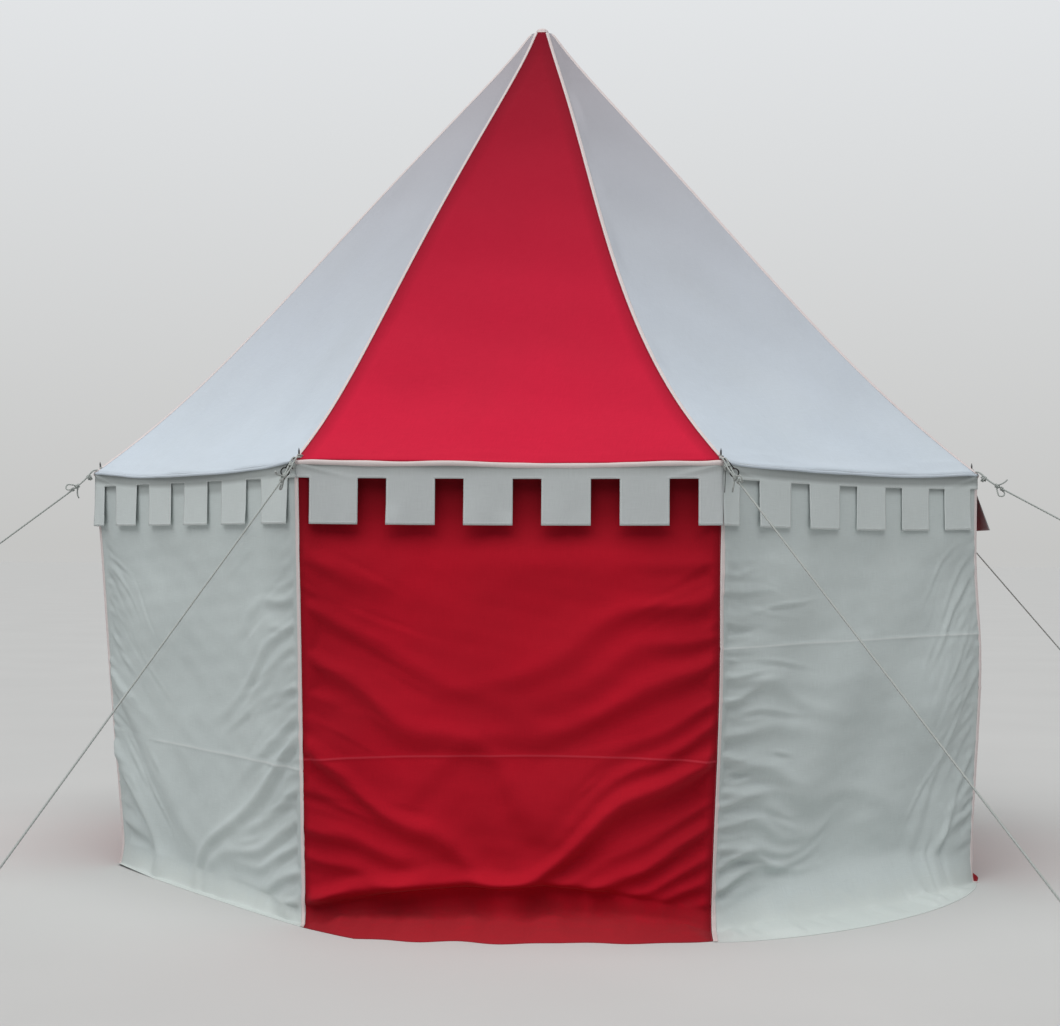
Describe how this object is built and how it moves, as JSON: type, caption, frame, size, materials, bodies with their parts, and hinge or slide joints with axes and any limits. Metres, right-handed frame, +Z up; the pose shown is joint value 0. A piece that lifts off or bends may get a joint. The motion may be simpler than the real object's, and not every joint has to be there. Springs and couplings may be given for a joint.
{
  "type": "medieval pavilion tent",
  "caption": "Octagonal pavilion tent: conical red and white canvas roof on a centre pole, straight walls, notched valance, corner guy ropes and pegs, hollow inside.",
  "frame": {"origin": "on the ground at the middle of the centre pole's foot", "axes": "+Z up along the centre pole; -Y is the way the red front panel faces; +X is to the right seen from the front"},
  "size_m": [10.1323, 8.922, 4.5113],
  "materials": {
    "canvas_red": "matt heavy cotton canvas, dyed crimson red",
    "canvas_white": "matt heavy cotton canvas, cool off-white",
    "cap_canvas": "pale sewn canvas boot over the pole head",
    "pole_wood": "sanded pale wood",
    "rope": "off-white twisted three-strand rope",
    "peg_steel": "dull galvanised bar"
  },
  "bodies": {
    "root": {"roof_panel_1": "canvas_red", "wall_panel_1": "canvas_red", "valance_1": "canvas_white", "roof_panel_2": "canvas_white", "wall_panel_2": "canvas_white", "valance_2": "canvas_white", "roof_panel_3": "canvas_red", "wall_panel_3": "canvas_red", "valance_3": "canvas_white", "roof_panel_4": "canvas_white", "wall_panel_4": "canvas_white", "valance_4": "canvas_white", "roof_panel_5": "canvas_red", "wall_panel_5": "canvas_red", "valance_5": "canvas_white", "roof_panel_6": "canvas_white", "wall_panel_6": "canvas_white", "valance_6": "canvas_white", "roof_panel_7": "canvas_red", "wall_panel_7": "canvas_red", "valance_7": "canvas_white", "roof_panel_8": "canvas_white", "wall_panel_8": "canvas_white", "valance_8": "canvas_white", "side_pole_1": "pole_wood", "guy_rope_1": "rope", "peg_1": "peg_steel", "side_pole_2": "pole_wood", "guy_rope_2": "rope", "peg_2": "peg_steel", "side_pole_3": "pole_wood", "guy_rope_3": "rope", "peg_3": "peg_steel", "side_pole_4": "pole_wood", "guy_rope_4": "rope", "peg_4": "peg_steel", "side_pole_5": "pole_wood", "guy_rope_5": "rope", "peg_5": "peg_steel", "side_pole_6": "pole_wood", "guy_rope_6": "rope", "peg_6": "peg_steel", "side_pole_7": "pole_wood", "guy_rope_7": "rope", "peg_7": "peg_steel", "side_pole_8": "pole_wood", "guy_rope_8": "rope", "peg_8": "peg_steel", "centre_pole": "pole_wood", "apex_cap": "cap_canvas"}
  },
  "joints": []
}
